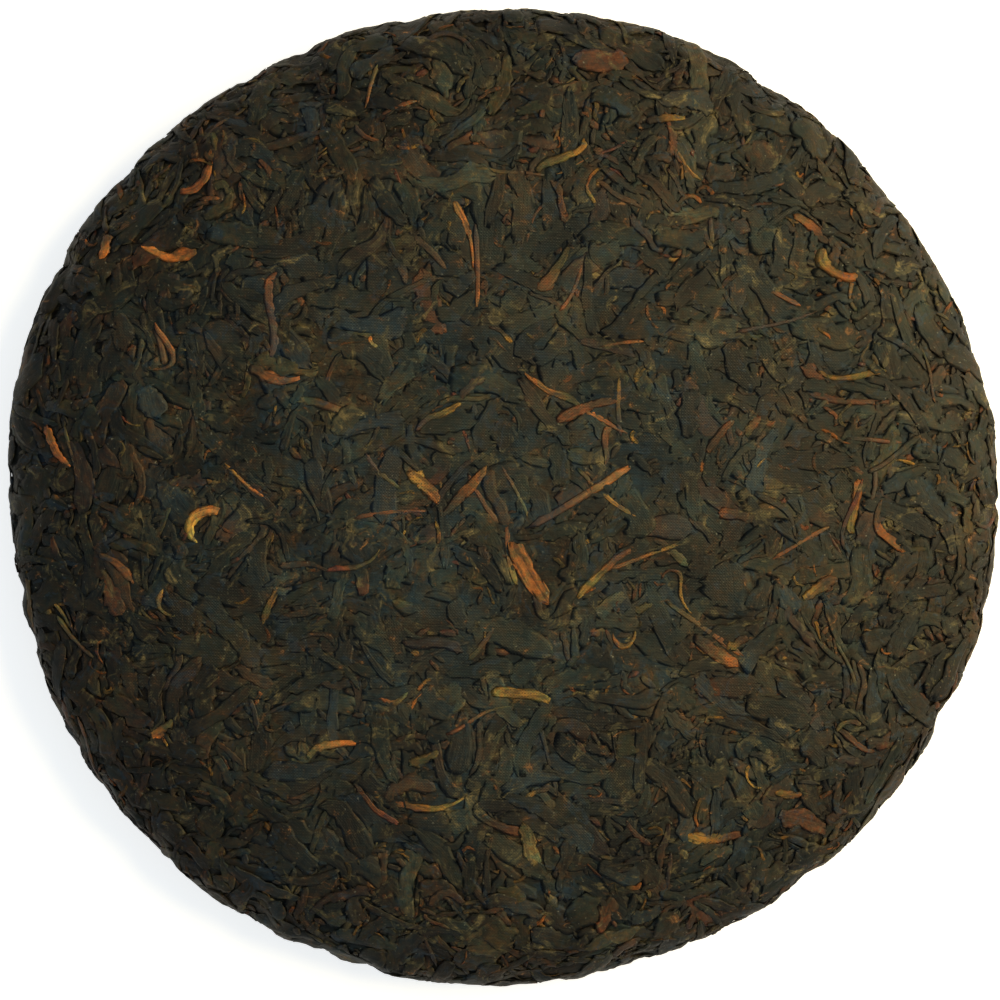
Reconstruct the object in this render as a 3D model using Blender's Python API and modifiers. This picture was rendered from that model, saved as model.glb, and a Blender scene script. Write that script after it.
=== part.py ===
"""A pressed pu erh tea cake: one round disc of leaves pressed in a cloth bag.

The face is a low dome, the rim is thin and rounded, and the back is flat to rest on.
In the middle of the back is the dimple that the bag's knot leaves.
The origin is at the centre of the back, and +Z points up out of the domed face.
"""

import math

import bmesh
import bpy
from mathutils import Vector

# Driving dimensions, in metres
RADIUS = 0.100
HEIGHT = 0.0240
RIM_HEIGHT = 0.0085
FOOT_RADIUS = 0.083
DIMPLE_RADIUS = 0.027
DIMPLE_DEPTH = 0.009

# The dome's section, as the two powers of a superellipse: a wide flat top over a round shoulder
DOME_SPREAD = 2.4
DOME_SHOULDER = 2.2

# How finely the disc is turned
TURNS = 116
DOME_STEPS = 19
UNDERCUT_STEPS = 7
FOOT_STEPS = 3
DIMPLE_STEPS = 8

# The outline's slow waves: how many round the rim, their share of the radius, where one crests
LOBES = (
    (2, 0.0075, 1),
    (3, 0.0035, 11),
    (4, 0.0050, -24),
    (5, 0.0030, 5),
    (7, 0.0020, 7),
)
# Bumps where leaf ends stand at the rim: how many round it, their share of the radius, where one crests
RIM_BUMPS = ((17, 0.0011, 3), (29, 0.0012, 8), (43, 0.0010, 2))
# Lumps left by bundles of leaves under the face, as crossing waves: length, height, the way each runs
LUMPS = (
    (0.037, 0.00025, 20),
    (0.029, 0.00022, 78),
    (0.023, 0.00020, 141),
    (0.018, 0.00016, 107),
    (0.015, 0.00014, 49),
    (0.013, 0.00012, 166),
)
# The lumps fade out below this height, so that the back stays flat
LUMP_FADE_HEIGHT = 0.005

MERGE = 0.00001
SHARP_ANGLE = math.radians(50)
LEAF_COLOUR = (0.030, 0.026, 0.016, 1.0)
LEAF_ROUGHNESS = 0.62


def smoothstep(share):
    """0 to 1 with a soft start and end."""
    share = min(1.0, max(0.0, share))
    return share * share * (3 - 2 * share)


def dome_section():
    """Points from the top of the dome out and down to the rim, as (radius, height)."""
    rise = HEIGHT - RIM_HEIGHT
    points = []
    for step in range(DOME_STEPS + 1):
        share = math.sin(math.pi / 2 * step / DOME_STEPS)
        height = RIM_HEIGHT + rise * (1 - share ** DOME_SPREAD) ** (1 / DOME_SHOULDER)
        points.append((RADIUS * share, height))
    return points


def undercut_section():
    """Points from the rim down and in to the foot: a quarter of an ellipse."""
    points = []
    for step in range(1, UNDERCUT_STEPS + 1):
        angle = math.pi / 2 * step / UNDERCUT_STEPS
        radius = FOOT_RADIUS + (RADIUS - FOOT_RADIUS) * math.cos(angle)
        height = RIM_HEIGHT * (1 - math.sin(angle))
        points.append((radius, height))
    return points


def foot_section():
    """The flat ring that the disc rests on, from its outer to its inner edge."""
    width = FOOT_RADIUS - DIMPLE_RADIUS
    return [(FOOT_RADIUS - width * step / FOOT_STEPS, 0.0) for step in range(1, FOOT_STEPS + 1)]


def dimple_section():
    """The knot's dimple, a bell from the foot's inner edge up to the axis."""
    points = []
    for step in range(1, DIMPLE_STEPS + 1):
        radius = DIMPLE_RADIUS * (1 - step / DIMPLE_STEPS)
        height = DIMPLE_DEPTH * (1 + math.cos(math.pi * radius / DIMPLE_RADIUS)) / 2
        points.append((radius, height))
    return points


def wave_sum(waves, turn):
    """The sum of some waves round the rim, at an angle in radians."""
    return sum(share * math.cos(count * (turn - math.radians(crest))) for count, share, crest in waves)


def lump_height(x, y):
    """How far the face stands proud or shy at a place, from crossing waves."""
    total = 0.0
    for length, height, way in LUMPS:
        along = x * math.cos(math.radians(way)) + y * math.sin(math.radians(way))
        total += height * math.sin(2 * math.pi * along / length + math.radians(way))
    return total


def pressed(place):
    """Moves a point of the true disc to where it lies on the uneven one."""
    radius = math.hypot(place.x, place.y)
    turn = math.atan2(place.y, place.x)
    outward = smoothstep(radius / RADIUS)
    stretch = 1 + wave_sum(LOBES, turn) * outward + wave_sum(RIM_BUMPS, turn) * outward ** 8
    lump = lump_height(place.x, place.y) * smoothstep(place.z / LUMP_FADE_HEIGHT)
    return Vector((place.x * stretch, place.y * stretch, place.z + lump))


def centre_outline(mesh):
    """Slides the disc sideways until its outline lies evenly about the axis."""
    across = [vertex.co.x for vertex in mesh.vertices]
    along = [vertex.co.y for vertex in mesh.vertices]
    middle = Vector(((min(across) + max(across)) / 2, (min(along) + max(along)) / 2, 0))
    for vertex in mesh.vertices:
        vertex.co -= middle


def turned(name, section):
    """A mesh object made by turning an open section, from the axis back to the axis, about Z."""
    mesh = bpy.data.meshes.new(name + "_section")
    outline = bmesh.new()
    corners = [outline.verts.new((radius, 0, height)) for radius, height in section]
    for first, second in zip(corners, corners[1:]):
        outline.edges.new((first, second))
    outline.to_mesh(mesh)
    outline.free()
    section_object = bpy.data.objects.new(name + "_section", mesh)
    bpy.context.scene.collection.objects.link(section_object)
    screw = section_object.modifiers.new("Turn", "SCREW")
    screw.steps = TURNS
    screw.render_steps = TURNS
    screw.use_merge_vertices = True
    screw.merge_threshold = MERGE
    graph = bpy.context.evaluated_depsgraph_get()
    body = bpy.data.meshes.new_from_object(section_object.evaluated_get(graph))
    bpy.data.objects.remove(section_object)
    body.name = name
    return bpy.data.objects.new(name, body)


def leaf_material():
    """Dark brown green of fermented leaves, nearly matt."""
    material = bpy.data.materials.new("pressed_leaves")
    material.use_nodes = True
    shader = material.node_tree.nodes["Principled BSDF"]
    shader.inputs["Base Color"].default_value = LEAF_COLOUR
    shader.inputs["Roughness"].default_value = LEAF_ROUGHNESS
    shader.inputs["Metallic"].default_value = 0.0
    return material


def tea_cake():
    """The whole disc, as one solid."""
    section = dome_section() + undercut_section() + foot_section() + dimple_section()
    cake = turned("tea_cake", section)
    for vertex in cake.data.vertices:
        vertex.co = pressed(vertex.co)
    centre_outline(cake.data)
    cake.data.materials.append(leaf_material())
    cake.data.shade_smooth()
    cake.data.set_sharp_from_angle(angle=SHARP_ANGLE)
    return cake


def main():
    for old in list(bpy.data.objects):
        bpy.data.objects.remove(old)
    collection = bpy.data.collections.new("pu_erh_tea_cake")
    bpy.context.scene.collection.children.link(collection)
    collection.objects.link(tea_cake())


main()
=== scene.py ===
"""Looks of a pressed pu erh tea cake: thousands of leaves laid flat under the skin of the CAD solid.

The solid's surface is the inside of the pressing cloth. Leaves are laid from the cloth inwards:
the first ones lie flush with it, and each later one dips under those already there.
Lengths are in metres, except where a name or a comment says millimetres.
"""

import math

import bmesh
import bpy
import numpy as np
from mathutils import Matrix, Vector, noise
from mathutils.bvhtree import BVHTree


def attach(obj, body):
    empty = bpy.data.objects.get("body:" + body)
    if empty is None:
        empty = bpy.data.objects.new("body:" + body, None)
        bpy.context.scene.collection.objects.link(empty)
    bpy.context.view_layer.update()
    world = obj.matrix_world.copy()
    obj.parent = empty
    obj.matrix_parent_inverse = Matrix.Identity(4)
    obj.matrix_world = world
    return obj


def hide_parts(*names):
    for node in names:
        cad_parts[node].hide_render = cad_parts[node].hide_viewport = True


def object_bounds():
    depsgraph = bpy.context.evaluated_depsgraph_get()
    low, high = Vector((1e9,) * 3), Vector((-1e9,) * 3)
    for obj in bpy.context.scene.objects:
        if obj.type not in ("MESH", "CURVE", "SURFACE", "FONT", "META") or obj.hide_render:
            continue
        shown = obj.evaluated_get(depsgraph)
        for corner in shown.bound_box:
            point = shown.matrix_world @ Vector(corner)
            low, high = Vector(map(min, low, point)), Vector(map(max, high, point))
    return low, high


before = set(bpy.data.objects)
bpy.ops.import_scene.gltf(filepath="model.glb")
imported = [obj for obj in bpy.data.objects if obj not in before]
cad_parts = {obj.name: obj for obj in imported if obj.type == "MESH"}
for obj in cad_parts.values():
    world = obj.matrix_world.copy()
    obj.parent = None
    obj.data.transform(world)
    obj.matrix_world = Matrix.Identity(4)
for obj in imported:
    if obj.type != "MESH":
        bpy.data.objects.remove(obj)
CAD_LOW, CAD_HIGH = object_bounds()

MM = 0.001
SEED = 357
CAKE_HEIGHT = CAD_HIGH.z - CAD_LOW.z
FACE, BACK = 0, 1
SIDES = {FACE: "face", BACK: "back"}

# The flat maps of the skin
MAP_CELL = 1.0 * MM
BED_CELL = 0.3 * MM
MAP_OVERLAP = 14 * MM
SECTION_RAYS = 361
SECTION_TURNS = 12
LEAST_LEAN = 0.003
SMOOTHING_PASSES = 1
RIM_BITE = 1.9 * MM
COARSE_BITES, FINE_BITES = 125, 330
WELD = 0.01 * MM

# ---------------------------------------------------------------- the skin, as two flat maps


def cast(tree, centre, lean, turn):
    """Where a ray from inside the cake meets its surface: a point and the way out."""
    way = Vector((math.sin(lean) * math.cos(turn), math.sin(lean) * math.sin(turn), math.cos(lean)))
    place, normal, _, _ = tree.ray_cast(centre, way)
    return place, normal


def rim_bite(place):
    """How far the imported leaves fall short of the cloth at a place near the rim."""
    near_rim = min(place.xy.length / CAD_HIGH.x, 1) ** 14
    bite = noise.noise(place * COARSE_BITES) + 0.7 * noise.noise(place * FINE_BITES) + 0.05
    return max(bite, 0) * near_rim * RIM_BITE


def blurred(grid):
    """A grid smoothed a little along both of its sides."""
    padded = np.pad(grid, ((1, 1), (1, 1), (0, 0)), mode="edge")
    rows = (padded[:-2] + 2 * padded[1:-1] + padded[2:]) / 4
    return (rows[:, :-2] + 2 * rows[:, 1:-1] + rows[:, 2:]) / 4


class Skin:
    """The inner side of the pressing cloth, read from the CAD solid.

    Each side of the cake has a map whose distance from the middle is the true length over the skin.
    The back's map is mirrored, so that a leaf drawn on either map shows its upper side outwards.
    """

    def __init__(self, node):
        welded = bmesh.new()
        welded.from_mesh(node.data)
        bmesh.ops.remove_doubles(welded, verts=welded.verts, dist=WELD)
        self.tree = BVHTree.FromBMesh(welded)
        welded.free()
        self.centre = Vector((0, 0, 0.55 * CAKE_HEIGHT))
        self.leans = np.linspace(LEAST_LEAN, math.pi - LEAST_LEAN, SECTION_RAYS)
        self.radii, heights = self.mean_section()
        steps = np.hypot(np.diff(self.radii), np.diff(heights))
        self.arcs = np.concatenate([[0], np.cumsum(steps)])
        self.total = self.arcs[-1]
        self.rim_arc = self.arcs[int(np.argmax(self.radii))]
        self.edge = (self.rim_arc, self.total - self.rim_arc)
        self.places = []
        self.normals = []
        for side in SIDES:
            self.draw_map(side)

    def mean_section(self):
        """Radius and height of the mean section, from the top of the face to the middle of the back."""
        radii = np.zeros(SECTION_RAYS)
        heights = np.zeros(SECTION_RAYS)
        for row, lean in enumerate(self.leans):
            for step in range(SECTION_TURNS):
                place, _ = cast(self.tree, self.centre, lean, 2 * math.pi * (step + 0.3) / SECTION_TURNS)
                radii[row] += math.hypot(place.x, place.y) / SECTION_TURNS
                heights[row] += place.z / SECTION_TURNS
        return radii, heights

    def arc_and_turn(self, side, x, y):
        """Length over the skin from the top of the face, and the angle about the axis, of map points."""
        away = np.hypot(x, y)
        turn = np.arctan2(y, x)
        if side == FACE:
            return away, turn
        return self.total - away, -turn

    def draw_map(self, side):
        """Fills a side's grid with points of the surface and the ways out there."""
        count = int(2 * (self.edge[side] + MAP_OVERLAP) / MAP_CELL) + 2
        line = (np.arange(count) - (count - 1) / 2) * MAP_CELL
        places = np.zeros((count, count, 3))
        normals = np.zeros((count, count, 3))
        for row, x in enumerate(line):
            arcs, turns = self.arc_and_turn(side, np.full(count, x), line)
            leans = np.interp(arcs, self.arcs, self.leans)
            for column in range(count):
                place, normal = cast(self.tree, self.centre, leans[column], turns[column])
                places[row, column] = place - normal * rim_bite(place)
                normals[row, column] = normal
        for _ in range(SMOOTHING_PASSES):
            places = blurred(places)
            normals = blurred(normals)
        self.places.append(places)
        self.normals.append(normals)

    def under(self, side, x, y, depth):
        """Points of space for map points at a depth under the skin."""
        places, normals = self.places[side], self.normals[side]
        last = places.shape[0] - 1
        column = np.clip(x / MAP_CELL + last / 2, 0, last - 1e-6)
        row = np.clip(y / MAP_CELL + last / 2, 0, last - 1e-6)
        i, j = column.astype(int), row.astype(int)
        a, b = (column - i)[:, None], (row - j)[:, None]

        def between(grid):
            near = grid[i, j] * (1 - a) + grid[i + 1, j] * a
            far = grid[i, j + 1] * (1 - a) + grid[i + 1, j + 1] * a
            return near * (1 - b) + far * b

        out = between(normals)
        out /= np.linalg.norm(out, axis=1)[:, None]
        return between(places) - out * depth[:, None]

    def stretch(self, side, x, y):
        """How much longer the map draws a line round the axis than it really is."""
        away = math.hypot(x, y)
        if away < 5 * MM:
            return 1.0
        arc = away if side == FACE else self.total - away
        return away / np.interp(arc, self.arcs, self.radii)

    def other(self, side, x, y):
        """The same places on the other side's map."""
        away = np.maximum(np.hypot(x, y), 1e-9)
        across = (self.total - away) / away
        return x * across, -y * across

    def on_face(self, x, y):
        """The face map's point that lies at (x, y) as seen from above."""
        radius = math.hypot(x, y)
        face = self.arcs <= self.rim_arc
        arc = np.interp(radius, self.radii[face], self.arcs[face])
        scale = arc / max(radius, 1e-9)
        return x * scale, y * scale


class Bed:
    """How deep each spot under the skin is already filled, on both maps."""

    def __init__(self, skin):
        self.skin = skin
        self.counts = [int(2 * (edge + MAP_OVERLAP) / BED_CELL) + 2 for edge in skin.edge]
        self.depths = [np.zeros((count, count), np.float32) for count in self.counts]
        self.insides = []
        for side in SIDES:
            x, y = self.spots(side)
            self.insides.append(np.hypot(x, y) < skin.edge[side])

    def spots(self, side):
        """Map points of the middles of all cells."""
        line = (np.arange(self.counts[side]) + 0.5 - self.counts[side] / 2) * BED_CELL
        return np.meshgrid(line, line, indexing="ij")

    def cells(self, side, x, y):
        """Row and column of the cells that hold some points."""
        count = self.counts[side]
        column = np.clip((x / BED_CELL + count / 2).astype(int), 0, count - 1)
        row = np.clip((y / BED_CELL + count / 2).astype(int), 0, count - 1)
        return column, row

    def look(self, side, x, y):
        """How deep the spots under some points are filled."""
        return self.depths[side][self.cells(side, x, y)]

    def fill(self, side, x, y, depth):
        """Marks points as filled down to a depth, on this side's map and near the rim on the other's."""
        spots = self.cells(side, x, y)
        grid = self.depths[side]
        grid[spots] = np.maximum(grid[spots], depth)
        other_x, other_y = self.skin.other(side, x, y)
        near = np.hypot(other_x, other_y) < self.skin.edge[1 - side] + MAP_OVERLAP
        if near.any():
            spots = self.cells(1 - side, other_x[near], other_y[near])
            grid = self.depths[1 - side]
            grid[spots] = np.maximum(grid[spots], depth[near])

    def bare(self, side, depth):
        """Map points of this side that are filled less deep than this, and their share of the side."""
        thin = (self.depths[side] < depth) & self.insides[side]
        x, y = self.spots(side)
        return x[thin], y[thin], thin.sum() / self.insides[side].sum()


# ---------------------------------------------------------------- leaf shapes

RIM_JITTER = 0.45
KEEL_REACH = 0.96
KEEL_MARK = -2
BLUNTNESS = (0.35, 0.95)


def wobble(places, rng, size, waves=3, pace=2.1):
    """A smooth random line: a few waves, each finer and smaller."""
    total = np.zeros_like(places)
    for wave in range(1, waves + 1):
        total += np.sin(pace * wave * places + rng.uniform(0, 2 * math.pi)) * rng.uniform(0.4, 1) / wave
    return total * size


def cloudy(points, scale, seed):
    """Smooth random values at some points, mostly between -1 and 1."""
    shift = Vector((seed, -seed, seed))
    return np.array([noise.noise(Vector(point) * scale + shift) for point in points]) * 2


def torn_edge(rng, corners, depth):
    """Half width of a leaf along its length: a few straight stretches between random corners."""
    places = np.sort(rng.uniform(-1, 1, corners))
    places = np.concatenate([[-1], places, [1]])
    return places, rng.uniform(1 - depth, 1, corners + 2)


class Form:
    """One leaf shape: a thin closed solid, two long and two wide.

    Its upper side is a grid with a relief, and its under side runs to a keel along the middle.
    """

    def __init__(self, along, across, outline, relief, rng):
        self.line = np.linspace(-1, 1, 41)
        self.low, self.high = outline(self.line, rng)
        shape = bmesh.new()
        bmesh.ops.create_grid(shape, x_segments=along, y_segments=across, size=1)
        upper = list(shape.verts)
        rim = [vert for vert in upper if vert.is_boundary]
        border = [edge for edge in shape.edges if edge.is_boundary]
        wall = bmesh.ops.extrude_edge_only(shape, edges=border)["geom"]
        keel = [item for item in wall if isinstance(item, bmesh.types.BMVert)]
        for vert in keel:
            end = KEEL_REACH * vert.co.x
            vert.co = (end, self.width_at(end, 0.5), KEEL_MARK)
        ends = np.array([vert.co.x for vert in upper])
        sides = np.array([vert.co.y for vert in upper])
        drops = relief(ends, sides, rng)
        slant = rng.uniform(-0.10, 0.10)
        for vert, end, side, drop in zip(upper, ends, sides, drops):
            vert.co = (end * (1 + slant * side), self.width_at(end, (side + 1) / 2), -drop)
        for vert in rim:
            vert.co += Vector((rng.uniform(-1, 1) / along, rng.uniform(-1, 1) / across, 0)) * RIM_JITTER
        bmesh.ops.remove_doubles(shape, verts=keel, dist=0.0001)
        bmesh.ops.triangulate(shape, faces=shape.faces)
        bmesh.ops.recalc_face_normals(shape, faces=shape.faces)
        shape.verts.index_update()
        places = np.array([vert.co for vert in shape.verts])
        self.keel = places[:, 2] < 0.75 * KEEL_MARK
        self.u, self.v = places[:, 0], places[:, 1]
        self.drop = np.where(self.keel, 0, -places[:, 2])
        self.faces = np.array([[vert.index for vert in face.verts] for face in shape.faces])
        self.under = self.keel[self.faces].any(axis=1)
        shape.free()

    def width_at(self, u, share):
        """Place across the leaf, at u along it, from its low edge to its high one."""
        low = np.interp(u, self.line, self.low)
        return low + (np.interp(u, self.line, self.high) - low) * share


def leaf_outline(point, taper, corners, ragged, sway=0.0):
    """Edges of a leaf: straight torn stretches, ends that taper, and a middle that may sway."""

    def outline(line, rng):
        lean = 1 - taper * rng.uniform(0, 1) * (line * rng.choice((-1, 1)) + 1) / 2
        ends = np.ones(len(line))
        for end in (line < 0, line >= 0):
            blunt = rng.uniform(*BLUNTNESS)
            ends[end] -= np.abs(line[end]) ** (point * rng.uniform(0.6, 1.8)) * blunt
        middle = wobble(line, rng, sway)
        low = -np.interp(line, *torn_edge(rng, corners, ragged)) * lean * ends + middle
        high = np.interp(line, *torn_edge(rng, corners, ragged)) * lean * ends + middle
        return low, high

    return outline


def folded_relief(folds, depth=0.5):
    """A rolled leaf pressed flat: long ridges that wind a little, and sides that round off."""

    def relief(ends, sides, rng):
        twist = rng.uniform(-0.9, 0.9)
        phase = rng.uniform(0, 2 * math.pi)
        ridge = np.abs(np.sin(math.pi * folds * (sides + twist * ends) / 2 + phase))
        ridge = (1 - ridge) * (depth + wobble(ends, rng, 0.2))
        lip = 0.2 * np.abs(sides) ** 5 + 0.2 * np.abs(ends) ** 9
        return np.clip(ridge + lip, 0, 1)

    return relief


def flat_relief(crease):
    """A leaf pressed flat: a faint midrib, a crease or two, and a slight swell."""

    def relief(ends, sides, rng):
        drop = 0.12 * np.abs(sides) ** 6 + 0.12 * np.abs(ends) ** 10
        for _ in range(3):
            turn = rng.uniform(-1.2, 1.2)
            line = sides * math.cos(turn) + ends * math.sin(turn) - rng.uniform(-0.8, 0.8)
            drop = drop + crease * rng.uniform(0.3, 1) * np.exp(-((line / 0.13) ** 2))
        drop = drop + np.abs(wobble(ends * 2.2 + sides * rng.uniform(-2, 2), rng, 0.16))
        return np.clip(drop, 0, 1)

    return relief


def round_relief(ends, sides, rng):
    """A stalk: round across, with a groove and a slight swelling at a node."""
    node = rng.uniform(-0.7, 0.7)
    drop = 0.9 * (1 - np.sqrt(1 - np.minimum(np.abs(sides), 0.98) ** 2))
    drop = drop + 0.25 * np.exp(-(((sides - rng.uniform(-0.3, 0.3)) / 0.3) ** 2))
    return np.clip(drop + 0.15 * (1 - np.exp(-(((ends - node) / 0.15) ** 2))), 0, 1)


def chip_relief(ends, sides, rng):
    """A broken bit: tilted and a little rounded."""
    drop = 0.3 * (ends ** 2 + sides ** 2) + 0.3 * (ends * rng.uniform(-1, 1) + sides * rng.uniform(-1, 1))
    return np.clip(drop + 0.3, 0, 1)


class Kind:
    """A sort of leaf in the cake. Its sizes are ranges in millimetres."""

    def __init__(self, name, grid, forms, outline, relief, colours, **sizes):
        self.name, self.colours = name, colours
        self.length, self.width = sizes["length"], sizes["width"]
        self.thick, self.rough, self.bend = sizes["thick"], sizes["rough"], sizes["bend"]
        rng = np.random.default_rng(SEED + sum(map(ord, name)))
        self.forms = [Form(*grid, outline, relief, rng) for _ in range(forms)]
        self.laid = {side: [] for side in SIDES}


# Leaf colours, linear
PALETTE = {
    "dark": (0.0125, 0.0122, 0.0085),
    "olive": (0.062, 0.050, 0.019),
    "grey": (0.042, 0.043, 0.028),
    "pale": (0.125, 0.110, 0.050),
    "blue": (0.017, 0.024, 0.030),
    "green": (0.015, 0.0195, 0.0135),
    "moss": (0.0215, 0.0215, 0.0120),
    "umber": (0.023, 0.0165, 0.0090),
    "brown": (0.048, 0.027, 0.013),
    "mauve": (0.046, 0.027, 0.021),
    "rust": (0.110, 0.040, 0.014),
    "red": (0.095, 0.026, 0.015),
    "orange": (0.230, 0.085, 0.021),
    "gold": (0.205, 0.118, 0.026),
    "yellow": (0.300, 0.185, 0.040),
}
STAIN = np.array((0.0295, 0.0207, 0.0108))
BLOOM = np.array((0.0138, 0.0222, 0.0262))
RIM_TINT = np.array((0.92, 0.77, 0.55))
DARK_LEAVES = {"dark": 7, "moss": 5, "green": 3.5, "blue": 1.8, "umber": 2.5, "grey": 1.2, "mauve": 0.9,
               "olive": 0.5, "brown": 0.9, "rust": 0.2}
ROLLED_LEAVES = {"dark": 5.5, "moss": 5, "green": 2, "umber": 4, "brown": 2.6, "olive": 1.1, "mauve": 1,
                 "rust": 0.7, "gold": 0.15}
STALKS = {"umber": 3, "brown": 4, "mauve": 3, "rust": 2, "olive": 1}
TIPS = {"rust": 3.0, "brown": 2.0, "gold": 2.5, "orange": 2.5, "olive": 1.5, "pale": 0.8, "yellow": 0.5}
CHIPS = {"moss": 4, "umber": 4, "brown": 3, "rust": 2.8, "gold": 1.2, "pale": 0.9, "red": 0.7, "blue": 1.5}


def leaf_kinds():
    """Every sort of leaf."""
    return {
        kind.name: kind
        for kind in (
            Kind("broad_leaves", (10, 7), 30, leaf_outline(5, 0.6, 9, 0.55, 0.16), flat_relief(0.7),
                 DARK_LEAVES, length=(6, 17), width=(3.5, 9.5), thick=(0.12, 0.2), rough=(0.06, 0.14),
                 bend=0.25),
            Kind("leaf_strips", (12, 4), 30, leaf_outline(5, 0.6, 8, 0.5, 0.2), folded_relief(2.0),
                 ROLLED_LEAVES, length=(4, 15), width=(1.6, 4.6), thick=(0.14, 0.26), rough=(0.1, 0.22),
                 bend=0.4),
            Kind("leaf_curls", (13, 3), 16, leaf_outline(6, 0.6, 4, 0.3), folded_relief(1.5),
                 ROLLED_LEAVES, length=(6, 14), width=(1.0, 2.2), thick=(0.2, 0.35), rough=(0.1, 0.22),
                 bend=1.1),
            Kind("stems", (9, 4), 12, leaf_outline(20, 0.3, 4, 0.15), round_relief,
                 STALKS, length=(6, 19), width=(0.8, 1.6), thick=(0.3, 0.45), rough=(0.15, 0.25), bend=0.12),
            Kind("golden_tips", (8, 4), 18, leaf_outline(5, 0.6, 6, 0.5, 0.2), folded_relief(1.6),
                 TIPS, length=(2.0, 6), width=(0.7, 1.7), thick=(0.15, 0.3), rough=(0.1, 0.2), bend=0.8),
            Kind("leaf_chips", (4, 3), 24, leaf_outline(2.5, 0.5, 3, 0.5), chip_relief,
                 CHIPS, length=(1.3, 4.5), width=(0.9, 2.8), thick=(0.1, 0.2), rough=(0.06, 0.15),
                 bend=0.3),
            Kind("under_leaves", (6, 3), 24, leaf_outline(3, 0.6, 5, 0.45, 0.1), chip_relief,
                 DARK_LEAVES, length=(4, 11), width=(2, 5.5), thick=(0.1, 0.18), rough=(0.06, 0.12),
                 bend=0.35),
        )
    }


# The few leaves that stand out most: kind, colours of the two ends, how far right of the centre and
# above it the middle lies, length and width, all four in millimetres, heading in degrees, and bend
LANDMARKS = (
    ("stems", "mauve", "orange", 15, 0, 25, 2.0, 30, 0.0),
    ("broad_leaves", "orange", "orange", 5, -15, 14, 5.0, -60, 0.1),
    ("leaf_curls", "orange", "yellow", -60, -5, 10, 3.0, -120, 1.4),
    ("leaf_curls", "gold", "orange", 65, 45, 12, 2.5, -45, 1.5),
    ("leaf_curls", "orange", "rust", -90, 10, 10, 3.0, -60, 0.5),
    ("stems", "rust", "mauve", -45, 35, 16, 2.5, -100, 0.0),
    ("broad_leaves", "olive", "pale", 5, -70, 10, 5.0, -75, 0.0),
    ("leaf_strips", "rust", "gold", -15, -60, 15, 3.0, 10, 0.1),
)
# The other bright leaves are strewn over the face: how many, and the shares of kinds and colours
BRIGHT_LEAVES = 132
BRIGHT_KINDS = {"golden_tips": 3.5, "leaf_strips": 3, "leaf_curls": 1.5, "stems": 2}
BRIGHT_COLOURS = {"rust": 4, "gold": 3, "orange": 2.5, "brown": 2.5, "olive": 2, "mauve": 1.2, "red": 1,
                  "pale": 0.5}
BRIGHT_REACH = 0.97

# ---------------------------------------------------------------- laying leaves

PATH_POINTS = 33
EDGE_MARGIN = 0.18 * MM
SHADE_SPREAD = 0.17
TINGE = 0.38
BRIGHT_TINGE = 0.1
TWO_COLOURED = 0.35
ROUND_THE_RIM = 0.7
DRIFT_SCALE = 55
OPEN_SCALE = 75
OPEN_KEPT = 0.93
LOOK_AGAIN_AFTER = 150
BARE_ENOUGH = 0.002


def bent(length, curve, sway):
    """A line of a given length that bends, and sways to and fro."""
    line = np.linspace(-1, 1, PATH_POINTS)
    angles = curve * line + sway * (line ** 2 - 0.33) * 1.5
    steps = (angles[:-1] + angles[1:]) / 2
    step = length / (PATH_POINTS - 1)
    x = np.concatenate([[0], np.cumsum(np.cos(steps))]) * step
    y = np.concatenate([[0], np.cumsum(np.sin(steps))]) * step
    return np.stack([x - x.mean(), y - y.mean()], 1)


def drawn(skin, side, line, x, y, heading):
    """A line placed on a map and turned, stretched the way the map is there."""
    dx = line[:, 0] * math.cos(heading) - line[:, 1] * math.sin(heading)
    dy = line[:, 0] * math.sin(heading) + line[:, 1] * math.cos(heading)
    away = math.hypot(x, y)
    out_x, out_y = (x / away, y / away) if away > 1 * MM else (1, 0)
    outward = dx * out_x + dy * out_y
    about = (dy * out_x - dx * out_y) * skin.stretch(side, x, y)
    return np.stack([x + outward * out_x - about * out_y, y + outward * out_y + about * out_x], 1)


class Leaf:
    """One leaf: its shape, and the line on a map that its middle follows."""

    def __init__(self, kind, rng, side, path, width, tints):
        self.kind, self.side, self.path, self.tints = kind, side, path, tints
        self.form = kind.forms[rng.integers(len(kind.forms))]
        self.width = width
        self.length = np.hypot(*np.diff(path, axis=0).T).sum()
        self.thick = rng.uniform(*kind.thick) * MM
        self.rough = rng.uniform(*kind.rough) * MM
        self.shade = math.exp(rng.normal(0, SHADE_SPREAD))
        self.seed = rng.uniform(0, 40)
        self.tinge = TINGE
        tangent = np.gradient(path, axis=0)
        tangent /= np.hypot(*tangent.T)[:, None]
        self.across = np.stack([-tangent[:, 1], tangent[:, 0]], 1)

    def spread(self, u, v):
        """Map points for places on the leaf, u along it and v across it, each from -1 to 1."""
        line = np.linspace(-1, 1, PATH_POINTS)
        x, y = (
            np.interp(u, line, self.path[:, axis])
            + np.interp(u, line, self.across[:, axis]) * v * self.width / 2
            for axis in (0, 1)
        )
        return x, y

    def footprint(self):
        """Map points that fill the leaf up to a margin, and how near its edge each is."""
        columns = max(4, int(self.length / (0.8 * BED_CELL)))
        rows = max(3, int(self.width / (0.8 * BED_CELL)))
        end = 1 - 2 * EDGE_MARGIN / self.length
        low = min(EDGE_MARGIN / self.width, 0.25)
        u, share = np.meshgrid(np.linspace(-end, end, columns), np.linspace(low, 1 - low, rows))
        u, share = u.ravel(), share.ravel()
        x, y = self.spread(u, self.form.width_at(u, share))
        return x, y, np.abs(2 * share - 1)


DIP_RADII = (0.25 * MM, 0.6 * MM)
DIP_WAYS = [math.pi / 3 * step for step in range(6)]
DIP_BESIDE = (0.5, 0.2)
MERGED_SCALE = 260
MERGED_BELOW = 0.45
MERGED_SINK = 0.55


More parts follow.
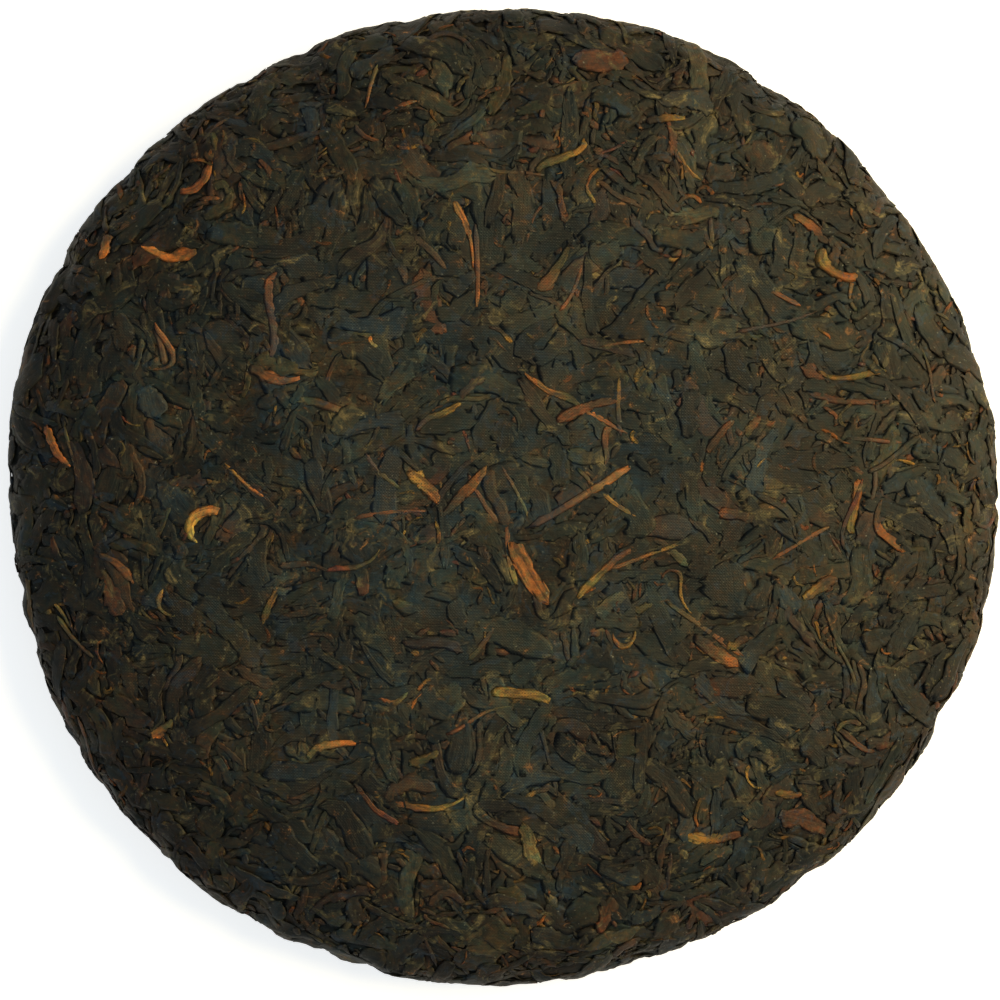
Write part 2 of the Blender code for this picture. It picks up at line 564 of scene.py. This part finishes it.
def dip_under(bed, side, x, y):
    """How deep a leaf must lie at some points to pass under what is there.

    In some places it dips a little before it reaches the leaf above, which leaves a groove; in
    others it dips only past that leaf's edge, so that the two merge.
    """
    here = bed.look(side, x, y)
    grown, shrunk = here, here
    for radius, share in zip(DIP_RADII, DIP_BESIDE):
        for way in DIP_WAYS:
            found = bed.look(side, x + radius * math.cos(way), y + radius * math.sin(way))
            grown = np.maximum(grown, found * share)
            if radius == DIP_RADII[0]:
                shrunk = np.minimum(shrunk, found)
    flat = np.stack([x, y, np.full(len(x), 0.1 * side)], 1)
    away = np.hypot(x, y) / bed.skin.edge[side]
    parted = cloudy(flat, MERGED_SCALE, 7.0) > MERGED_BELOW - 0.5 * away ** 2
    return np.where(parted, grown, MERGED_SINK * shrunk)


TOUCH = 0.06 * MM
LOOSE_AT_RIM = 0.50 * MM
LOOSE_IN_MIDDLE = 0.03 * MM
RIM_FULLNESS = 1.7
MIDDLE_FULLNESS = 0.55
RIM_SHADE = 0.34
BRIGHT_CLEARANCE = 0.15 * MM
BRIGHT_SHADE = 0.95
CRUMPLE = 0.09 * MM


def lay(bed, leaf, rng, most_hidden=1.0, sunk=0.0, clearance=0.0):
    """Lays a leaf into the bed, unless what is there hides too much of it. Says whether it did."""
    x, y, edge = leaf.footprint()
    there = bed.look(leaf.side, x, y)
    if (there > TOUCH).mean() > most_hidden:
        return False
    form = leaf.form
    leaf.map_x, leaf.map_y = leaf.spread(form.u, form.v)
    away = min(np.hypot(*leaf.path[PATH_POINTS // 2]) / bed.skin.edge[leaf.side], 1)
    loose = LOOSE_IN_MIDDLE + (LOOSE_AT_RIM - LOOSE_IN_MIDDLE) * away ** 4
    fullness = MIDDLE_FULLNESS + (RIM_FULLNESS - MIDDLE_FULLNESS) * away ** 2.5
    leaf.thick *= fullness
    leaf.rough *= fullness
    tilt = rng.uniform(-1, 1, 3) * loose
    own = sunk + tilt[0] + tilt[1] * form.u + tilt[2] * form.v
    crumpled = CRUMPLE * (0.5 + away ** 2) * rng.uniform(0, 1, len(form.u)) * ~form.keel
    leaf.under = dip_under(bed, leaf.side, leaf.map_x, leaf.map_y)
    leaf.depth = np.maximum(leaf.under, own) + crumpled + leaf.rough * form.drop + leaf.thick * form.keel
    leaf.shade *= 1 - RIM_SHADE * away ** 2
    filled = np.maximum(there, sunk) + clearance + (leaf.thick + 0.5 * leaf.rough) * (1 - 0.5 * edge ** 3)
    bed.fill(leaf.side, x, y, filled.astype(np.float32))
    leaf.kind.laid[leaf.side].append(leaf)
    return True


def lay_bright(bed, leaf, rng):
    """Lays a leaf that stands out: in its own colours, and lighter where the light is weaker."""
    across = leaf.path[0][0] / CAD_HIGH.x
    leaf.shade = BRIGHT_SHADE * (1.35 + 1.1 * across * (across - 1))
    leaf.tinge = BRIGHT_TINGE
    lay(bed, leaf, rng, clearance=BRIGHT_CLEARANCE)


def lay_landmarks(bed, kinds, rng):
    """Lays the leaves that stand out most, each in its own place."""
    for name, first, second, x, y, length, width, heading, bend in LANDMARKS:
        middle_x, middle_y = bed.skin.on_face(x * MM, y * MM)
        line = bent(length * MM, bend, 0)
        path = drawn(bed.skin, FACE, line, middle_x, middle_y, math.radians(heading))
        tints = (np.array(PALETTE[first]), np.array(PALETTE[second]))
        lay_bright(bed, Leaf(kinds[name], rng, FACE, path, width * MM, tints), rng)


def strew_bright(bed, kinds, rng):
    """Strews the other bright leaves over the face."""
    for _ in range(BRIGHT_LEAVES):
        away = BRIGHT_REACH * bed.skin.edge[FACE] * math.sqrt(rng.random())
        turn = rng.uniform(0, 2 * math.pi)
        kind = kinds[picked(BRIGHT_KINDS, rng)]
        leaf = any_leaf(bed, kind, rng, FACE, away * math.cos(turn), away * math.sin(turn))
        leaf.tints = [np.array(PALETTE[picked(BRIGHT_COLOURS, rng)]) for _ in range(2)]
        lay_bright(bed, leaf, rng)


def picked(shares, rng):
    """One of the names, as often as its share."""
    weights = np.array(list(shares.values()))
    return list(shares)[rng.choice(len(weights), p=weights / weights.sum())]


def any_heading(rng, side, x, y, skin):
    """A heading that neighbours roughly share, and that near the rim runs round it."""
    away = math.hypot(x, y) / skin.edge[side]
    if rng.random() < ROUND_THE_RIM * away ** 4:
        return math.atan2(y, x) + math.pi / 2 + rng.normal(0, 0.5)
    drift = noise.noise(Vector((x * DRIFT_SCALE, y * DRIFT_SCALE, side * 9.0)))
    return 4.5 * drift + rng.normal(0, 0.9)


def any_leaf(bed, kind, rng, side, x, y):
    """A leaf of a kind somewhere on a map, with a size, a bend and colours of its own."""
    line = bent(rng.uniform(*kind.length) * MM, rng.normal(0, kind.bend), rng.normal(0, kind.bend * 0.5))
    path = drawn(bed.skin, side, line, x, y, any_heading(rng, side, x, y, bed.skin))
    first = np.array(PALETTE[picked(kind.colours, rng)])
    second = np.array(PALETTE[picked(kind.colours, rng)]) if rng.random() < TWO_COLOURED else first
    width = kind.width[0] + (kind.width[1] - kind.width[0]) * rng.beta(1.6, 2.2)
    return Leaf(kind, rng, side, path, width * MM, (first, second))


def open_ground(skin, side, x, y):
    """Whether this is one of the patches, mostly in the middle, where no whole leaf shows."""
    away = math.hypot(x, y) / skin.edge[side]
    return noise.noise(Vector((x * OPEN_SCALE, y * OPEN_SCALE, 3 + side))) > 0.75 * away ** 1.5 - 0.08


def scatter(bed, kinds, rng, side, tries, bare_depth, sunk, shares):
    """Tries to lay a number of leaves on the barest spots of one side."""
    names = {name: share for name, (share, _) in shares.items()}
    for attempt in range(tries):
        if attempt % LOOK_AGAIN_AFTER == 0:
            x, y, bare = bed.bare(side, bare_depth * MM)
            if bare < BARE_ENOUGH:
                break
        spot = rng.integers(len(x))
        if rng.random() < OPEN_KEPT and open_ground(bed.skin, side, x[spot], y[spot]):
            continue
        name = picked(names, rng)
        leaf = any_leaf(bed, kinds[name], rng, side, x[spot], y[spot])
        lay(bed, leaf, rng, shares[name][1], rng.uniform(*sunk) * MM)
    return bare


# The rounds of laying: tries, how deep a spot must be filled to count as covered, how far leaves
# are sunk, both in millimetres, and for each kind its share and the most of it that may be hidden
ROUNDS = (
    (1450, 0.03, (0.0, 0.04), {
        "broad_leaves": (0.46, 0.18), "leaf_strips": (0.24, 0.18), "leaf_curls": (0.02, 0.2),
        "stems": (0.01, 0.15), "golden_tips": (0.12, 0.15), "leaf_chips": (0.15, 0.3),
    }),
    (3300, 0.03, (0.0, 0.08), {
        "broad_leaves": (0.48, 0.74), "leaf_strips": (0.23, 0.66), "leaf_curls": (0.02, 0.6),
        "stems": (0.01, 0.5), "golden_tips": (0.10, 0.5), "leaf_chips": (0.16, 0.5),
    }),
    (1800, 0.03, (0.0, 0.12), {"under_leaves": (0.5, 0.97), "leaf_chips": (0.5, 0.92)}),
)

# ---------------------------------------------------------------- pieces


def ground_colours(points):
    """The colour that neighbouring leaves share: dark green bloom or brown stain, darker at the rim."""
    away = np.hypot(points[:, 0], points[:, 1])[:, None] / CAD_HIGH.x
    warmth = 0.6 * cloudy(points, 45, 3.0)[:, None] + 1.0 * cloudy(points, 210, 11.0)[:, None]
    share = np.clip(0.5 + 1.1 * (warmth + 0.6 * (away - 0.6)), 0, 1)
    ground = BLOOM * (1 - share) + STAIN * share
    tone = 1 + 0.3 * cloudy(points, 120, 17.0)[:, None]
    return ground * tone, tone * (1 + (RIM_TINT - 1) * away ** 2)


def leaf_colours(leaf, points):
    """Colour of each vertex: one end's turning into the other's, tinged like its neighbours, with painted
    shade where the leaf dips deep and where its relief drops.
    """
    form = leaf.form
    turn = np.clip((form.u + 0.5) / 0.8, 0, 1)[:, None]
    colour = leaf.tints[0] * (1 - turn) + leaf.tints[1] * turn
    ground, rim = ground_colours(points)
    colour = (colour * (1 - leaf.tinge) + ground * leaf.tinge) * rim
    # Painted shade: darker where the leaf dips deeper, under the leaves above it, and where its relief drops
    # at creases and edges
    dark = 1 - 0.25 * np.clip((leaf.depth - 0.1 * MM) / (0.6 * MM), 0, 1)
    tone = leaf.shade * dark * (1 - 0.2 * form.drop)
    return np.concatenate([colour * tone[:, None], np.ones((len(form.u), 1))], 1)


def cloth_print(points, depth):
    """How well the cloth's print shows: best on what lies flush in the middle."""
    away = np.hypot(points[:, 0], points[:, 1]) / CAD_HIGH.x
    flush = np.clip(1 - depth / (0.45 * MM), 0, 1) * (1 - away ** 4)
    return flush * np.clip(0.7 + cloudy(points, 38, 5.0), 0.15, 1)


def add_colours(mesh, colours, flush):
    """Gives a mesh the two values its finish reads: leaf colour and strength of the cloth's print."""
    tint = mesh.attributes.new("leaf_colour", "FLOAT_COLOR", "POINT")
    tint.data.foreach_set("color", colours.astype(np.float32).ravel())
    pressed = mesh.attributes.new("flush", "FLOAT", "POINT")
    pressed.data.foreach_set("value", flush.astype(np.float32))


def outward(points, faces):
    """The faces of one closed leaf, turned so that all look outward."""
    corners = points[faces] - points.mean(axis=0)
    volume = np.sum(corners[:, 0] * np.cross(corners[:, 1], corners[:, 2]))
    return faces if volume > 0 else faces[:, ::-1]


def joined(name, leaves, skin, material):
    """One mesh of many leaves, with a colour for each and a map in millimetres along and across it."""
    points, faces, maps, colours, flush, under = [], [], [], [], [], []
    start = 0
    for leaf in leaves:
        form = leaf.form
        places = skin.under(leaf.side, leaf.map_x, leaf.map_y, leaf.depth)
        points.append(places)
        faces.append(outward(places, form.faces) + start)
        under.append(form.under)
        start += len(form.u)
        along = form.u * leaf.length / 2 / MM + leaf.seed
        across = form.v * leaf.width / 2 / MM + 3 * leaf.seed
        maps.append(np.stack([along, across], 1))
        colours.append(leaf_colours(leaf, places))
        flush.append(cloth_print(places, leaf.depth))
    points, faces = np.concatenate(points), np.concatenate(faces)
    mesh = bpy.data.meshes.new(name)
    mesh.vertices.add(len(points))
    mesh.vertices.foreach_set("co", points.astype(np.float32).ravel())
    mesh.loops.add(faces.size)
    mesh.loops.foreach_set("vertex_index", faces.astype(np.int32).ravel())
    mesh.polygons.add(len(faces))
    mesh.polygons.foreach_set("loop_start", np.arange(0, faces.size, 3, dtype=np.int32))
    mesh.update(calc_edges=True)
    corners = faces.ravel()
    layer = mesh.uv_layers.new(name="leaf_map")
    layer.data.foreach_set("uv", np.concatenate(maps)[corners].astype(np.float32).ravel())
    add_colours(mesh, np.concatenate(colours), np.concatenate(flush))
    mesh.shade_smooth()
    crisp = mesh.attributes.get("sharp_face") or mesh.attributes.new("sharp_face", "BOOLEAN", "FACE")
    crisp.data.foreach_set("value", np.concatenate(under))
    mesh.materials.append(material)
    piece = bpy.data.objects.new(name, mesh)
    bpy.context.scene.collection.objects.link(piece)
    return piece


CORE_DEPTH = 0.17 * MM
CORE_DEPTH_AT_RIM = 1.0 * MM
CORE_DEPTH_LEAST = 0.04 * MM
CORE_CUTS = 3
CORE_RELIEF = ((170, 0.16), (420, 0.14), (950, 0.08))


def packed_core(material):
    """The dense mass the leaves are pressed into: a slightly smaller, rough copy of the solid."""
    form = bmesh.new()
    form.from_mesh(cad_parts["tea_cake"].data)
    bmesh.ops.remove_doubles(form, verts=form.verts, dist=WELD)
    bmesh.ops.subdivide_edges(form, edges=form.edges, cuts=CORE_CUTS, use_grid_fill=True)
    form.normal_update()
    depths = []
    for vert in form.verts:
        away = min(vert.co.xy.length / CAD_HIGH.x, 1) ** 4
        deeper = (CORE_DEPTH_AT_RIM - CORE_DEPTH) * away * (0.35 + 0.65 * abs(vert.normal.z))
        depth = CORE_DEPTH + deeper
        for scale, size in CORE_RELIEF:
            depth += noise.noise(vert.co * scale) * size * (0.6 + 0.6 * away) * MM
        depth += rim_bite(vert.co)
        depth = max(depth, CORE_DEPTH_LEAST)
        vert.co -= vert.normal * depth
        depths.append(depth)
    bmesh.ops.triangulate(form, faces=form.faces)
    mesh = bpy.data.meshes.new("packed_core")
    form.to_mesh(mesh)
    form.free()
    points = np.array([vert.co for vert in mesh.vertices])
    depths = np.array(depths)
    ground, rim = ground_colours(points)
    # Painted shade: the core is darker the deeper it lies, in the gaps between leaves
    colours = ground * rim ** 0.5 * (1 - 0.65 * np.clip(depths / (0.7 * MM), 0, 1))[:, None]
    add_colours(mesh, np.concatenate([colours, np.ones((len(points), 1))], 1), cloth_print(points, depths))
    layer = mesh.uv_layers.new(name="leaf_map")
    corners = np.zeros(len(mesh.loops), np.int32)
    mesh.loops.foreach_get("vertex_index", corners)
    layer.data.foreach_set("uv", (points[corners][:, :2] / MM).astype(np.float32).ravel())
    mesh.shade_smooth()
    mesh.materials.append(material)
    core = bpy.data.objects.new("packed_core", mesh)
    bpy.context.scene.collection.objects.link(core)
    return core


# ---------------------------------------------------------------- materials


class Paint:
    """Short calls for building a material's nodes."""

    def __init__(self, name):
        self.material = bpy.data.materials.new(name)
        self.material.use_nodes = True
        self.tree = self.material.node_tree
        self.shader = self.tree.nodes["Principled BSDF"]

    def node(self, kind, **inputs):
        made = self.tree.nodes.new(kind)
        for key, value in inputs.items():
            self.put(made, key.replace("_", " "), value)
        return made

    def put(self, node, socket, value):
        if isinstance(value, bpy.types.NodeSocket):
            self.tree.links.new(value, node.inputs[socket])
        else:
            node.inputs[socket].default_value = value

    def attribute(self, name):
        made = self.tree.nodes.new("ShaderNodeAttribute")
        made.attribute_name = name
        return made

    def maths(self, operation, first, second=0.5):
        made = self.tree.nodes.new("ShaderNodeMath")
        made.operation = operation
        self.put(made, 0, first)
        self.put(made, 1, second)
        return made.outputs[0]

    def remap(self, value, low, high, to_low=0.0, to_high=1.0):
        made = self.node("ShaderNodeMapRange")
        for socket, number in enumerate((value, low, high, to_low, to_high)):
            self.put(made, socket, number)
        return made.outputs[0]

    def scaled(self, vector, x, y, z=1, turn=0.0):
        made = self.node("ShaderNodeMapping", Vector=vector)
        made.inputs["Scale"].default_value = (x, y, z)
        made.inputs["Rotation"].default_value = (0, 0, turn)
        return made.outputs[0]

    def noise(self, vector, scale, detail=3, roughness=0.55, distortion=0.0):
        made = self.node("ShaderNodeTexNoise", Vector=vector, Scale=scale, Detail=detail,
                         Roughness=roughness, Distortion=distortion)
        return made.outputs["Fac"]

    def ridge(self, value, width):
        """1 along the lines where a noise passes its middle, 0 away from them."""
        off = self.maths("ABSOLUTE", self.maths("SUBTRACT", value, 0.5))
        return self.remap(off, 0.0, width, 1.0, 0.0)

    def vector(self, operation, *values):
        made = self.tree.nodes.new("ShaderNodeVectorMath")
        made.operation = operation
        for socket, value in enumerate(values):
            self.put(made, socket, value)
        return made.outputs[0]

    def times(self, colour, factor):
        made = self.tree.nodes.new("ShaderNodeVectorMath")
        made.operation = "SCALE"
        self.put(made, 0, colour)
        self.put(made, "Scale", factor)
        return made.outputs[0]

    def mixed(self, factor, first, second):
        made = self.tree.nodes.new("ShaderNodeMix")
        made.data_type = "RGBA"
        self.put(made, 0, factor)
        self.put(made, 6, first)
        self.put(made, 7, second)
        return made.outputs[2]

    def bump(self, height, distance):
        return self.node("ShaderNodeBump", Strength=1.0, Distance=distance, Height=height).outputs[0]


# Stains that multiply a leaf's colour, the colours of what lies on it, a painted sheen of sky light, and
# lint that also serves for painted highlights
COOL_STAIN = (0.62, 0.92, 1.06, 1)
WARM_STAIN = (1.34, 1.04, 0.74, 1)
RUSTY = (0.105, 0.045, 0.015, 1)
RUST_FLECK = (0.190, 0.085, 0.026, 1)
GOLD_FLECK = (0.170, 0.120, 0.045, 1)
OCHRE = (0.085, 0.068, 0.029, 1)
# Painted sheen: the bluish sky reflected by flush leaves, laid on in patches
TEAL_SHEEN = (0.013, 0.026, 0.038, 1)
UMBER = (0.024, 0.017, 0.010, 1)
DUST = (0.20, 0.19, 0.14, 1)
# Lint that greys the middle, also laid on the ridges of the cloth's threads as a painted highlight
LINT_AND_GLINT = (0.046, 0.047, 0.036, 1)
WEAVE_PITCH = 0.58 * MM
WEAVE_TURN = 0.05
WEAVE_CROOKED = 7


def weave(paint, places, crumple):
    """The print of the pressing cloth's threads, stronger one way than the other, a little crooked."""
    parts = paint.node("ShaderNodeSeparateXYZ", Vector=paint.scaled(places, 1, 1, 1, WEAVE_TURN))
    pace = 2 * math.pi / WEAVE_PITCH
    crooked = paint.maths("MULTIPLY", crumple, WEAVE_CROOKED)
    along = paint.maths("ADD", paint.maths("MULTIPLY", parts.outputs[0], pace), crooked)
    across = paint.maths("ADD", paint.maths("MULTIPLY", parts.outputs[1], pace), crooked)
    warp, weft = paint.maths("SINE", along), paint.maths("SINE", across)
    crossed = paint.maths("MULTIPLY", warp, paint.maths("MULTIPLY", weft, 0.7))
    return paint.maths("ADD", crossed, paint.maths("MULTIPLY", weft, 0.35))


def leaf_finish(name, fibre, relief, roughness, shine, worn=0.0, cracked=False):
    """A pressed leaf: its own colour with fibres along it, grain, dust, a painted sheen of sky light, and
    the cloth's print, with painted highlights on its threads and painted shade between them.
    """
    paint = Paint(name)
    places = paint.node("ShaderNodeTexCoord").outputs["Object"]
    leaf_map = paint.node("ShaderNodeUVMap")
    leaf_map.uv_map = "leaf_map"
    along = paint.scaled(leaf_map.outputs["UV"], 0.16 * fibre, 0.9 * fibre)
    fibres = paint.noise(along, 1.0, 3, 0.62, 1.0)
    crumple = paint.noise(places, 640, 4, 0.70)

    own_colour = paint.attribute("leaf_colour")
    colour = own_colour.outputs["Color"]
    paleness = paint.remap(own_colour.outputs["Fac"], 0.025, 0.08, 0.22, 0.60)
    hue = paint.noise(places, 380, 4, 0.72, 0.8)
    tint = paint.mixed(paint.remap(hue, 0.40, 0.60), COOL_STAIN, WARM_STAIN)
    colour = paint.vector("MULTIPLY", colour, tint)
    patch = paint.noise(places, 170, 4, 0.70, 1.2)
    for field, starts, full, strength, stain_and_sheen in (
        (hue, 0.62, 0.65, 0.48, RUSTY),
        (hue, 0.68, 0.70, 0.8, RUST_FLECK),
        (patch, 0.59, 0.62, 0.45, OCHRE),
        (patch, 0.66, 0.68, 0.5, GOLD_FLECK),
        # painted sheen of sky light, in patches
        (patch, 0.42, 0.37, 0.5, TEAL_SHEEN),
    ):
        colour = paint.mixed(paint.remap(field, starts, full, 0.0, strength), colour, stain_and_sheen)
    streaks = paint.noise(paint.scaled(leaf_map.outputs["UV"], 0.11, 1.1), 1.0, 4, 0.66, 0.5)
    streaks = paint.remap(streaks, 0.50, 0.58)
    colour = paint.mixed(paint.maths("MULTIPLY", streaks, paleness), colour, UMBER)
    if worn:
        colour = paint.mixed(paint.remap(hue, 0.51, 0.44, 0.0, worn), colour, UMBER)
    if cracked:
        cracks = paint.maths("MULTIPLY", paint.ridge(patch, 0.022), paint.remap(hue, 0.46, 0.52))
        colour = paint.times(colour, paint.remap(cracks, 0, 1, 1.0, 0.35))
    colour = paint.times(colour, paint.remap(crumple, 0.3, 0.7, 0.58, 1.46))
    colour = paint.times(colour, paint.remap(fibres, 0.3, 0.7, 0.86, 1.16))
    threads = weave(paint, places, crumple)
    print_share = paint.attribute("flush").outputs["Fac"]
    print_share = paint.maths("MULTIPLY", print_share, paint.remap(crumple, 0.35, 0.65, 0.2, 1.3))
    pressed = paint.maths("MULTIPLY", threads, print_share)
    # Painted highlight and shade of the cloth's print: thread ridges painted lighter and greyer with lint
    # colour, the grooves between them darker
    lint_and_glint = paint.remap(pressed, 0.0, 0.8, 0.0, 0.55)
    colour = paint.times(colour, paint.remap(pressed, -0.8, 0.8, 0.15, 2.0))
    colour = paint.mixed(lint_and_glint, colour, LINT_AND_GLINT)
    dust = paint.remap(paint.noise(places, 1500, 1, 0.5), 0.72, 0.80, 0, 0.5)
    colour = paint.mixed(dust, colour, DUST)
    paint.put(paint.shader, "Base Color", colour)
    paint.put(paint.shader, "Roughness", paint.remap(crumple, 0.3, 0.7, roughness - 0.08, roughness + 0.08))
    paint.shader.inputs["Specular IOR Level"].default_value = shine

    height = paint.maths("ADD", paint.maths("MULTIPLY", crumple, 1.5), paint.maths("MULTIPLY", fibres, 0.7))
    height = paint.maths("ADD", height, paint.maths("MULTIPLY", pressed, 0.5))
    height = paint.maths("SUBTRACT", height, paint.maths("MULTIPLY", streaks, 0.25))
    paint.put(paint.shader, "Normal", paint.bump(height, relief * MM))
    return paint.material


# ---------------------------------------------------------------- the studio

FRAME_WIDTH = 202.3 * MM
RIM_HEIGHT = 8.5 * MM
CAMERA_DISTANCE = 900 * MM
LENS = 85.0
SENSOR = LENS * FRAME_WIDTH / (CAMERA_DISTANCE - RIM_HEIGHT)
CAMERA_SHIFT = (-0.8 * MM, -0.6 * MM)
FLOOR_DROP = 0.05 * MM
FLOOR_COLOUR = (0.95, 0.88, 0.78, 1)
FLOOR_GLOW = 0.7
SKY_COLOUR = (0.79, 1.0, 1.22, 1)
SKY_STRENGTH = 0.295
KEY_PLACE = (0.43, 0.13, 0.34)
KEY_SIZE = 0.56
KEY_POWER = 5.3
KEY_COLOUR = (1.0, 0.845, 0.46)


def lamp(name, place, size, power, colour):
    """A round soft light that points at the cake."""
    light = bpy.data.lights.new(name, "AREA")
    light.shape = "DISK"
    light.size = size
    light.energy = power
    light.color = colour
    holder = bpy.data.objects.new(name, light)
    holder.location = place
    holder.rotation_euler = Vector(place).to_track_quat("Z", "Y").to_euler()
    bpy.context.scene.collection.objects.link(holder)


def studio():
    """Pale floor, soft light with a warm side, and a camera that looks straight down."""
    bpy.ops.mesh.primitive_plane_add(size=6, location=(0, 0, -FLOOR_DROP))
    floor = bpy.context.object
    floor.name = "floor"
    paint = Paint("pale_floor")
    paint.shader.inputs["Base Color"].default_value = FLOOR_COLOUR
    paint.shader.inputs["Roughness"].default_value = 0.9
    paint.shader.inputs["Specular IOR Level"].default_value = 0.1
    paint.shader.inputs["Emission Color"].default_value = (1, 1, 1, 1)
    paint.shader.inputs["Emission Strength"].default_value = FLOOR_GLOW
    floor.data.materials.append(paint.material)

    world = bpy.data.worlds.new("studio")
    bpy.context.scene.world = world
    world.use_nodes = True
    background = world.node_tree.nodes["Background"]
    background.inputs["Color"].default_value = SKY_COLOUR
    background.inputs["Strength"].default_value = SKY_STRENGTH
    lamp("warm_key", KEY_PLACE, KEY_SIZE, KEY_POWER, KEY_COLOUR)

    camera_data = bpy.data.cameras.new("camera")
    camera_data.lens = LENS
    camera_data.sensor_width = SENSOR
    camera = bpy.data.objects.new("camera", camera_data)
    camera.location = (*CAMERA_SHIFT, CAMERA_DISTANCE)
    bpy.context.scene.collection.objects.link(camera)
    bpy.context.scene.camera = camera
    bpy.context.scene.view_settings.view_transform = "Standard"


# ---------------------------------------------------------------- making it


def main():
    studio()
    rng = np.random.default_rng(SEED)
    skin = Skin(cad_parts["tea_cake"])
    bed = Bed(skin)
    kinds = leaf_kinds()
    lay_landmarks(bed, kinds, rng)
    strew_bright(bed, kinds, rng)
    for side in SIDES:
        for tries, bare_depth, sunk, shares in ROUNDS:
            bare = scatter(bed, kinds, rng, side, tries, bare_depth, sunk, shares)
            print("side", side, "bare", round(float(bare), 4))

    finishes = {
        "broad_leaves": leaf_finish("broad_leaves", 1.0, 0.14, 0.62, 0.22),
        "leaf_strips": leaf_finish("leaf_strips", 1.4, 0.15, 0.60, 0.22),
        "leaf_curls": leaf_finish("leaf_curls", 1.4, 0.18, 0.60, 0.22),
        "stems": leaf_finish("stems", 2.0, 0.10, 0.55, 0.28),
        "golden_tips": leaf_finish("golden_tips", 1.8, 0.18, 0.64, 0.15, worn=0.8),
        "leaf_chips": leaf_finish("leaf_chips", 1.5, 0.14, 0.62, 0.22, worn=0.7),
        "under_leaves": leaf_finish("under_leaves", 1.0, 0.16, 0.62, 0.22),
    }
    core = packed_core(leaf_finish("packed_core", 0.6, 0.2, 0.66, 0.2, cracked=True))
    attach(core, "root")
    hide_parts("tea_cake")
    for kind in kinds.values():
        for side, label in SIDES.items():
            piece = joined(f"{label}_{kind.name}", kind.laid[side], skin, finishes[kind.name])
            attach(piece, "root")
            print(piece.name, len(kind.laid[side]), len(piece.data.polygons))


main()
